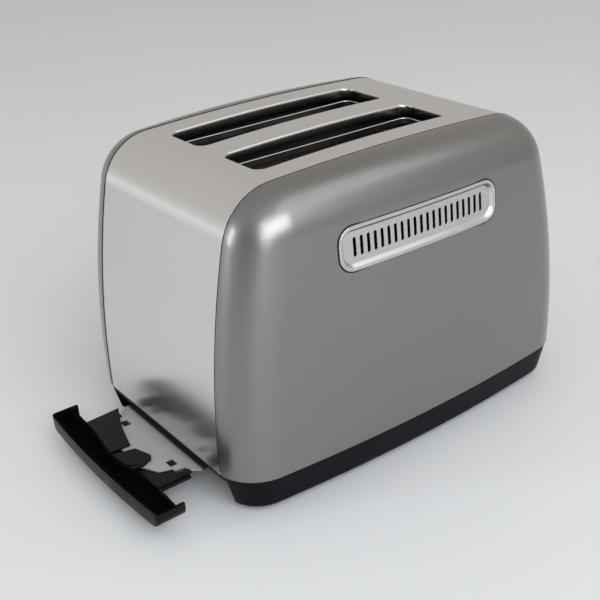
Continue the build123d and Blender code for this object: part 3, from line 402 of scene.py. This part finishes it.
# %% Circuit board, ceramic and lenses
circuit = moulded("circuit_board", (0.012, 0.07, 0.028), (0.02, 0.11, 0.045),
                  roughness=0.28, pit=900, depth=0.00002)
components = moulded("component_black", (0.015, 0.015, 0.016), (0.03, 0.03, 0.03),
                     roughness=0.35, pit=1800, depth=0.00002)
ceramic = moulded("terminal_ceramic", (0.6, 0.58, 0.52), (0.7, 0.68, 0.63),
                  roughness=0.25, pit=700, depth=0.00003)
lens_plastic = moulded("lens_plastic", (0.5, 0.17, 0.03), (0.62, 0.24, 0.05),
                       roughness=0.12, pit=900, depth=0.00001, soft_edge=0.0003)
print("insulators", circuit.name, components.name, ceramic.name, lens_plastic.name)

# %% [markdown]
# Every node gets its finish by name. One line for each node would repeat the pairs that exist left and right,
# or inner and outer. The names follow the real pieces, so a table of their last words covers them all.

# %% Give each node its finish
finishes = {
    "center_shell": band_steel,
    "side_panel": panel_steel,
    "vent_grille": grille_steel,
    "base_housing": base_plastic,
    "rubber_feet": foot_rubber,
    "base_screws": plated,
    "crumb_tray": tray_sheet,
    "crumb_tray_handle": handle_plastic,
    "tray_runners": plated,
    "end_plate": chamber_sheet,
    "reflector": chamber_sheet,
    "slot_frame": frame_sheet,
    "element_board": mica,
    "element_wire": ribbon,
    "bread_guard": bright_wire,
    "bread_rail": plated,
    "carriage_bracket": plated,
    "guide_bushes": turned_brass,
    "guide_rods": ground_rod,
    "lift_springs": spring_steel,
    "lift_lever_arm": plated,
    "lift_lever_knob": knob_plastic,
    "lever_slot_bezel": polished_trim,
    "magnet_core": magnet_iron,
    "magnet_coils": coil_copper,
    "armature_plate": magnet_iron,
    "control_board": circuit,
    "board_components": components,
    "browning_pot": components,
    "pot_shaft": plated,
    "browning_knob": knob_plastic,
    "dial_trim": polished_trim,
    "control_fascia": handle_plastic,
    "button": knob_plastic,
    "indicator_lenses": lens_plastic,
    "mains_terminal_block": ceramic,
    "cord_gland": handle_plastic,
}

for name, node in nodes.items():
    ending = max((key for key in finishes if name.endswith(key)), key=len)
    node.data.materials.clear()
    node.data.materials.append(finishes[ending])
print("finished", len(nodes), "nodes")

# %% [markdown]
# The rest of the object is small detail that is easier to model here than in the construction. Much of it is
# a thin tube along a path. Such a tube could be swept by hand, ring by ring, but a curve with a round section
# does that by itself. It is turned into a mesh at once, so that it can ride with a body like any other piece.

# %% Helpers for small pieces
sides = ((-1, "left"), (1, "right"))


def new_piece(name, mesh, body, material):
    # A piece on no body is attached to none
    piece = bpy.data.objects.new(name, mesh)
    bpy.context.scene.collection.objects.link(piece)
    mesh.materials.clear()
    mesh.materials.append(material)
    if body:
        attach(piece, body)
    return piece


def tube_mesh(name, points, radius, closed=False, rings=3):
    curve = bpy.data.curves.new(name, "CURVE")
    curve.dimensions = "3D"
    curve.bevel_depth = radius
    curve.bevel_resolution = rings
    curve.use_fill_caps = not closed
    path = curve.splines.new("POLY")
    path.points.add(len(points) - 1)
    for point, place in zip(path.points, points):
        point.co = (*place, 1)
    path.use_cyclic_u = closed
    path.use_smooth = True
    shape = bpy.data.objects.new(name, curve)
    mesh = bpy.data.meshes.new_from_object(shape)
    bpy.data.objects.remove(shape)
    return mesh


def corners_of(name):
    low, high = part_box(name)
    return Vector(low), Vector(high)


def mesh_from(shape, name):
    # Turns a finished bmesh into a mesh and frees it
    mesh = bpy.data.meshes.new(name)
    shape.to_mesh(mesh)
    shape.free()
    return mesh


print("a tube is one call of", tube_mesh.__name__)

# %% [markdown]
# Each lift spring is wound wire. A stretched tube would pass from afar, but its turns show when the lever is
# down and they close up. So the turns are a real helix, and it starts and ends with a closed turn, as cut
# springs do. It hangs between the moving carriage and the fixed shelf, and is attached to neither.

# %% Lift springs
wire_radius = 0.0005
spring_turns = 7
steps_per_turn = 20
spring_low, spring_high = corners_of("lift_springs")
coil_radius = (spring_high.x - spring_low.x) / 2 - wire_radius
spring_x = (spring_low.x + spring_high.x) / 2
spring_y = spring_high.y - coil_radius - wire_radius


def spring_point(start, end, turn):
    # A point of the helix after so many turns. The first and the last turn only climb by one wire
    wire = 2 * wire_radius
    rise = min(max((turn - 1) / (spring_turns - 2), 0), 1)
    closed_turns = wire * (min(turn, 1) - 1 + max(turn - spring_turns + 1, 0))
    height = start.z + wire + (end.z - start.z - 2 * wire) * rise + closed_turns
    angle = 2 * math.pi * turn
    return start.x + coil_radius * math.cos(angle), start.y + coil_radius * math.sin(angle), height


for side, side_name in sides:
    start = Vector((spring_x, side * spring_y, spring_low.z + wire_radius))
    end = Vector((spring_x, side * spring_y, spring_high.z - wire_radius))
    steps = range(spring_turns * steps_per_turn + 1)
    helix = [spring_point(start, end, step / steps_per_turn) for step in steps]
    wire = tube_mesh("coil", helix, wire_radius)
    coil = new_piece(f"{side_name}_coil_spring", wire, None, spring_steel)
    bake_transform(coil)
    if side < 0:
        # One node holds both springs, so one piece stands for it
        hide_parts("lift_springs")
print("springs", spring_turns, "turns each, coil radius", round(coil_radius * 1000, 2), "mm")

# %% [markdown]
# The plate under the slots has a rolled edge round each opening, which catches the light as a thin bright
# line inside the dark slot. A bevel on the plate would do, but the plate is a fixed node, so the edge is a
# thin tube along a rectangle with round corners.

# %% Rolled edges under the slots
lip_radius = 0.0006
opening_corner = 0.0055
opening_half_x = 0.0718
opening_half_y = 0.018
opening_x = slots_middle_x
frame_top = corners_of("slot_frame")[1].z
openings = frame["record"]["physics"]["openings"]
slot_boxes = [opening["box_m"] for opening in openings if "bread_slot" in opening["name"]]


def round_rectangle(centre, half_x, half_y, corner, steps=6):
    points = []
    for number, (sx, sy) in enumerate(((1, 1), (-1, 1), (-1, -1), (1, -1))):
        for step in range(steps + 1):
            angle = math.pi / 2 * (number + step / steps)
            points.append((centre.x + sx * (half_x - corner) + corner * math.cos(angle),
                           centre.y + sy * (half_y - corner) + corner * math.sin(angle), centre.z))
    return points


for (box_low, box_high), side_name in zip(slot_boxes, ("left", "right")):
    centre = Vector((opening_x, (box_low[1] + box_high[1]) / 2, frame_top - lip_radius / 2))
    path = round_rectangle(centre, opening_half_x, opening_half_y, opening_corner)
    lip = tube_mesh("lip", path, lip_radius, closed=True)
    new_piece(f"{side_name}_slot_lip", lip, "housing", polished_trim)
print("slot lips", len(slot_boxes))

# %% [markdown]
# Each grille plate sits in its hole and has a polished rolled rim. In the gap round it lies a dark tube,
# which is painted shade in the gap. Both are thin tubes that follow the plate's outline. The panel is domed,
# so a flat outline would float at its ends. Each point is laid on the panel instead: a ray is cast at it
# from outside, and the point goes where the ray lands.

# %% Painted gap shade and rims of the grilles
far_out = 0.3
grille_flange = 0.0015
grille_corner = 0.01
corner_steps = 8
ray_margin = 0.001
shade_line_radius = 0.0007
shade_line_outside = 0.0004
shade_line_sunk = 0.4 * shade_line_radius
rim_radius = 0.0004
rim_inside = 0.0006
rim_proud = 0.0003


def around_grille(side, side_name, grow, sink):
    # The plate's outline, grown by a little, at a depth under the panel just outside it
    low, high = corners_of(f"{side_name}_vent_grille")
    panel = nodes[f"{side_name}_side_panel"]
    centre = (low + high) / 2
    half_x = (high.x - low.x) / 2 - grille_flange + grow
    half_z = (high.z - low.z) / 2 - grille_flange + grow
    flat_centre = Vector((centre.x, centre.z, 0))
    places = []
    for x, z, _ in round_rectangle(flat_centre, half_x, half_z, grille_corner + grow, corner_steps):
        ray_x = centre.x + (x - centre.x) * (1 + ray_margin / half_x)
        ray_z = centre.z + (z - centre.z) * (1 + ray_margin / half_z)
        _, place, _, _ = panel.ray_cast(Vector((ray_x, side * far_out, ray_z)), Vector((0, -side, 0)))
        places.append((x, place.y - side * sink, z))
    return places


for side, side_name in sides:
    # A dark tube in the gap round the plate, as painted shade
    shade_line_path = around_grille(side, side_name, shade_line_outside, shade_line_sunk)
    shade_tube = tube_mesh("shade_tube", shade_line_path, shade_line_radius, closed=True)
    new_piece(f"{side_name}_grille_gap_shade", shade_tube, "housing", foot_rubber)
    rim_path = around_grille(side, side_name, -rim_inside, -rim_proud)
    rim = tube_mesh("rim", rim_path, rim_radius, closed=True)
    new_piece(f"{side_name}_grille_rim", rim, "housing", polished_trim)
print("grille rims at y", round(rim_path[0][1] * 1000, 1), "mm")

# %% [markdown]
# A thin dark tube also lies in the joint between the band and each panel, as painted shade in the joint.
# Its path is the outline of the body seen from the side. The frame doesn't give that outline, but the band
# has it, so rays are cast at the band's edge from all round, from one foot over the top to the other.

# %% Painted shade in the joints along the band
joint_radius = 0.0005
joint_steps = 160
joint_inset = 0.0004
joint_beside = 0.4 * joint_radius
joint_sunk = 0.3 * joint_radius
hub_height = 0.002
shell_low, shell_high = corners_of("center_shell")
edge_y = shell_high.y - joint_inset
hub_x = (shell_low.x + shell_high.x) / 2
hub_z = shell_low.z + hub_height

for side, side_name in sides:
    hub = Vector((hub_x, side * edge_y, hub_z))
    beside = Vector((0, side * (joint_inset + joint_beside), 0))
    path = []
    for step in range(joint_steps + 1):
        angle = math.pi * step / joint_steps
        away = Vector((-math.cos(angle), 0, math.sin(angle)))
        _, place, _, _ = nodes["center_shell"].ray_cast(hub + away * far_out, -away)
        path.append(place + beside - away * joint_sunk)
    # A dark tube in the joint, as painted shade
    shade_tube = tube_mesh("joint", path, joint_radius)
    new_piece(f"{side_name}_joint_gap_shade", shade_tube, "housing", foot_rubber)
joint_top = max(place.z for place in path)
# The painted shade tubes in the joints reach this height
print("joint seals up to", round(joint_top * 1000, 2), "mm")

# %% [markdown]
# The tray's handle is moulded: its edges are rounded, its outer skin is satin, and the pockets that the mould
# leaves open are dull. The node itself must keep its shape, so a bevel can't be added to it. A copy with
# bevelled edges stands for it instead, and each face of the copy gets one of the two finishes by its place.

# %% Handle of the crumb tray
pocket_plastic = moulded("pocket_plastic", (0.0018, 0.002, 0.0024), (0.003, 0.0033, 0.0038),
                         roughness=0.55, pit=1800, depth=0.00001, shine=0.03)
pocket_plastic.node_tree.nodes["Principled BSDF"].inputs["IOR"].default_value = 1.15
handle_bevel = 0.0004
weld_distance = 0.00001
flat_angle = math.radians(1)
sharp_angle = math.radians(32)
skin_depth = 0.005
pocket_depth = 0.0165
end_depth = 0.0005
faces_out = -0.3
faces_straight = 0.95
handle_low, handle_high = corners_of("crumb_tray_handle")


def softened_copy(node, width):
    # The node's mesh with flat faces joined up and every sharp edge bevelled
    shape = bmesh.new()
    shape.from_mesh(nodes[node].data)
    bmesh.ops.remove_doubles(shape, verts=shape.verts, dist=weld_distance)
    bmesh.ops.dissolve_limit(shape, angle_limit=flat_angle, verts=shape.verts, edges=shape.edges)
    sharp = [edge for edge in shape.edges if edge.is_manifold and edge.calc_face_angle() > sharp_angle]
    bmesh.ops.bevel(shape, geom=sharp, offset=width, segments=2, profile=0.5, affect="EDGES",
                    clamp_overlap=True)
    bmesh.ops.triangulate(shape, faces=[face for face in shape.faces if len(face.verts) > 4])
    return mesh_from(shape, node)


def is_satin(face):
    # The outer skin, both ends, what lies behind the pockets and every bevel
    on_skin = face.center.x < handle_low.x + skin_depth and face.normal.x < faces_out
    on_end = abs(face.center.y) > handle_high.y - end_depth
    behind = face.center.x > handle_low.x + pocket_depth
    bevelled = max(abs(value) for value in face.normal) < faces_straight
    return on_skin or on_end or behind or bevelled


softened = softened_copy("crumb_tray_handle", handle_bevel)
handle = new_piece("tray_handle", softened, "tray", handle_plastic)
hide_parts("crumb_tray_handle")
handle.data.materials.append(pocket_plastic)
for face in handle.data.polygons:
    face.material_index = 0 if is_satin(face) else 1
print("handle faces", len(handle.data.polygons))

# %% [markdown]
# Two hooks on the handle's arms snap up into the holes of the tray. They could be pulled out of the handle's
# mesh, but a block of its own is easier to bevel and to place. Its far end slopes down, so that it slides
# under the sheet and catches.

# %% Hooks of the handle
hook_size = Vector((0.0044, 0.0062, 0.0016))
hook_bevel = 0.0004
hook_slope = 0.25
hook_reach = 0.0365
hook_y = 0.03
hook_level = 0.0188

for side, side_name in sides:
    hook = bmesh.new()
    bmesh.ops.create_cube(hook, size=1, matrix=Matrix.Diagonal((*hook_size, 1)))
    bmesh.ops.bevel(hook, geom=hook.edges, offset=hook_bevel, segments=2, affect="EDGES")
    for corner in hook.verts:
        corner.co.z -= max(corner.co.x, 0) * hook_slope
    place = (handle_low.x + hook_reach, side * hook_y, hook_level)
    bmesh.ops.translate(hook, verts=hook.verts, vec=place)
    new_piece(f"{side_name}_tray_hook", mesh_from(hook, "hook"), "tray", handle_plastic)
print("hooks at y", hook_y, "on both sides")

# %% [markdown]
# The dial and the buttons carry printed marks. A print could be part of the material, but then its edges
# would only be as sharp as a pattern. So each mark is a very thin solid of its own. The end of the body is
# curved, so a mark is drawn flat in Y and Z, and each of its points is then laid on the surface behind it.

# %% Helpers for printed marks
print_white = moulded("print_white", (0.62, 0.62, 0.6), (0.7, 0.7, 0.68),
                      roughness=0.45, pit=900, depth=0.000002, soft_edge=0.00002)
mark_thick = 0.0001
flat_to_upright = Matrix(((0, 0, 1), (1, 0, 0), (0, 1, 0))).to_4x4()


def printed(name, node, body, mesh):
    # The front of the mark stands proud of the node by its thickness, and its back is sunk as much
    for corner in mesh.vertices:
        start = Vector((far_out, corner.co.y, corner.co.z))
        _, place, _, _ = nodes[node].ray_cast(start, Vector((-1, 0, 0)))
        corner.co.x = place.x + (mark_thick if corner.co.x > 0 else -mark_thick)
    return new_piece(name, mesh, body, print_white)


def bar_mark(name, node, body, y, z, length, width, angle=0.0):
    # A short bar, turned clockwise from upright
    bar = bmesh.new()
    bmesh.ops.create_cube(bar, size=1, matrix=Matrix.Diagonal((1, width, length, 1)))
    bmesh.ops.transform(bar, verts=bar.verts, matrix=Matrix.Rotation(-angle, 4, "X"))
    bmesh.ops.translate(bar, verts=bar.verts, vec=(0, y, z))
    return printed(name, node, body, mesh_from(bar, name))


def number_mark(text, node, body, y, z, height):
    font = bpy.data.curves.new("number", "FONT")
    font.body = text
    font.size = height
    font.extrude = mark_thick
    font.align_x = "CENTER"
    font.align_y = "CENTER"
    shape = bpy.data.objects.new("number", font)
    mesh = bpy.data.meshes.new_from_object(shape)
    bpy.data.objects.remove(shape)
    mesh.transform(Matrix.Translation((0, y, z)) @ flat_to_upright)
    return printed(f"number_{text}", node, body, mesh)


print("marks stand", round(mark_thick * 1000, 2), "mm proud")

# %% [markdown]
# The dial needs a scale. Seven short ticks lie on its trim ring, plain numbers stand beside every second
# tick, and a white line on the grip points at them. The dial turns 140 degrees each way, so a loop spreads
# the ticks over that range. The scale stays on the housing, and the line rides with the dial.

# %% Scale of the dial
dial_sweep = math.radians(140)
tick_count = 7
tick_inset = 0.0016
tick_length = 0.0014
tick_width = 0.0005
number_gap = 0.0036
number_height = 0.0042
pointer_reach = 0.0095
pointer_length = 0.0065
pointer_width = 0.0009


def middle_of(name):
    low, high = corners_of(name)
    return (low + high) / 2


dial_z = middle_of("browning_knob").z
trim_low, trim_high = corners_of("dial_trim")
ring_radius = (trim_high.y - trim_low.y) / 2
tick_radius = ring_radius - tick_inset
number_radius = ring_radius + number_gap
for count in range(tick_count):
    angle = dial_sweep * (2 * count / (tick_count - 1) - 1)
    out_y, out_z = math.sin(angle), math.cos(angle)
    bar_mark(f"tick_{count + 1}", "dial_trim", "housing", tick_radius * out_y, dial_z + tick_radius * out_z,
             tick_length, tick_width, angle)
    if count % 2 == 0:
        number_mark(str(count + 1), "control_fascia", "housing", number_radius * out_y,
                    dial_z + number_radius * out_z, number_height)
bar_mark("pointer", "browning_knob", "browning_dial", 0, dial_z + pointer_reach, pointer_length,
         pointer_width)
print("ticks", tick_count, "at", round(tick_radius * 1000, 1), "mm")

# %% [markdown]
# The buttons are told apart by plain bars: one, two or three upright ones, and one that lies flat. Words
# would do too, but at this size plain bars are easier to read. Each bar rides with its button, so it goes in
# when the button is pressed.

# %% Marks of the buttons
button_marks = {"reheat": (1, 0.0), "bagel": (2, 0.0), "defrost": (3, 0.0), "cancel": (1, math.pi / 2)}
button_bar_gap = 0.0016
button_bar_length = 0.0026
button_bar_width = 0.0006
for name, (count, angle) in button_marks.items():
    cap = middle_of(f"{name}_button")
    for number in range(count):
        y = cap.y + (number - (count - 1) / 2) * button_bar_gap
        bar_mark(f"{name}_mark_{number + 1}", f"{name}_button", f"{name}_key", y, cap.z, button_bar_length,
                 button_bar_width, angle)
print("marked buttons", len(button_marks))

# %% [markdown]
# The floor is one pale, slightly mottled sheet. A curved backdrop would hide the horizon, but the picture
# looks down, so a flat sheet that is large enough fills it, and the object keeps a plain shadow.

# %% Floor
floor_half = 6.0
floor_mesh = bpy.data.meshes.new("floor")
corners = [(sx * floor_half, sy * floor_half, 0) for sx, sy in ((-1, -1), (1, -1), (1, 1), (-1, 1))]
floor_mesh.from_pydata(corners, [], [(0, 1, 2, 3)])
floor = bpy.data.objects.new("floor", floor_mesh)
bpy.context.scene.collection.objects.link(floor)
floor_paint, floor_shader = new_material("floor_paint", (0.72, 0.72, 0.72), 0.0, 0.55)
mottle = tint(floor_paint, grain(floor_paint, (3, 3, 3)), (0.7, 0.7, 0.703), (0.74, 0.74, 0.738))
feed(floor_paint, mottle, floor_shader.inputs["Base Color"])
floor_mesh.materials.append(floor_paint)
print("floor", 2 * floor_half, "m")

# %% [markdown]
# Polished metal shows what it mirrors, so the sky matters as much as the lamps. An even sky would leave the
# steel flat, and a photographed one would be an image. This one is worked out from the direction of view: it
# is dimmer and warmer behind the toaster, and has a soft dark patch where the band's end mirrors it.

# %% Sky
dim_direction = (0.55, 0.75, -0.3)
full_strength = 0.73
dim_strength = 0.47
patch_direction = (-0.86, -0.42, 0.26)
patch_share = 0.5
patch_edge = 0.78
patch_core = 0.97
warm_direction = (0.7, 0.7, 0.0)
cool_sky = (0.975, 1.0, 1.03)
warm_sky = (1.04, 1.0, 0.95)

world = bpy.data.worlds.new("studio")
world.use_nodes = True
facing = add(world, "ShaderNodeTexCoord").outputs["Generated"]


def sky_toward(direction):
    # From -1 right behind to 1 straight towards a direction
    inputs = {0: facing, 1: Vector(direction).normalized()}
    return add(world, "ShaderNodeVectorMath", inputs, operation="DOT_PRODUCT").outputs["Value"]


fading = spread(world, sky_toward(dim_direction), full_strength, dim_strength, start=-1.0, end=1.0)
patch = spread(world, sky_toward(patch_direction), 1.0, patch_share, start=patch_edge, end=patch_core)
warmth = spread(world, sky_toward(warm_direction), 0.0, 1.0, start=-1.0, end=1.0)
sky = world.node_tree.nodes["Background"]
feed(world, calculate(world, "MULTIPLY", fading, patch), sky.inputs["Strength"])
feed(world, tint(world, warmth, cool_sky, warm_sky), sky.inputs["Color"])
bpy.context.scene.world = world
bpy.context.scene.view_settings.view_transform = "Standard"
print("sky from", dim_strength, "to", full_strength)

# %% [markdown]
# The lamps are placed from the highlights. At each highlight the panel mirrors one direction, and a lamp
# stands there: a wide one in front and a narrow one past the tray's end for the two spots on the round
# corner, one above for the long roll at the top, a low one for the lower part, and a faint one behind for
# the band's end. Point lamps would give hard dots, so they are all rectangles that glow, and the camera
# doesn't see them.

# %% Lamps
lamp_distance = 2.0
lamp_target = Vector((0, 0, 0.1))


def soft_lamp(name, bearing, rise, width, height, brightness, color):
    # A lamp seen from the toaster at a bearing, counted from +X towards +Y, and a rise, both in degrees. Its
    # power grows with its area, so a larger lamp looks just as bright
    light = bpy.data.lights.new(name, "AREA")
    light.shape = "RECTANGLE"
    light.size = width
    light.size_y = height
    light.energy = brightness * math.pi * width * height
    light.color = color
    lamp = bpy.data.objects.new(name, light)
    turn, lift = math.radians(bearing), math.radians(rise)
    away = Vector((math.cos(turn) * math.cos(lift), math.sin(turn) * math.cos(lift), math.sin(lift)))
    aimed = away.to_track_quat("Z", "Y").to_matrix().to_4x4()
    lamp.matrix_world = Matrix.Translation(lamp_target + away * lamp_distance) @ aimed
    lamp.visible_camera = False
    bpy.context.scene.collection.objects.link(lamp)


soft_lamp("front_lamp", -104, 35, width=1.8, height=0.95, brightness=4.3, color=(0.88, 0.94, 1.0))
soft_lamp("top_lamp", -55, 56, width=1.6, height=1.0, brightness=0.95, color=(1.0, 1.0, 1.0))
soft_lamp("low_lamp", -122, 14, width=0.8, height=0.9, brightness=1.35, color=(0.88, 0.97, 1.0))
soft_lamp("end_lamp", 157, 14, width=0.28, height=0.8, brightness=8.5, color=(0.88, 0.96, 1.0))
soft_lamp("streak_lamp", 118, 3, width=1.0, height=0.3, brightness=0.35, color=(1.0, 0.98, 0.97))
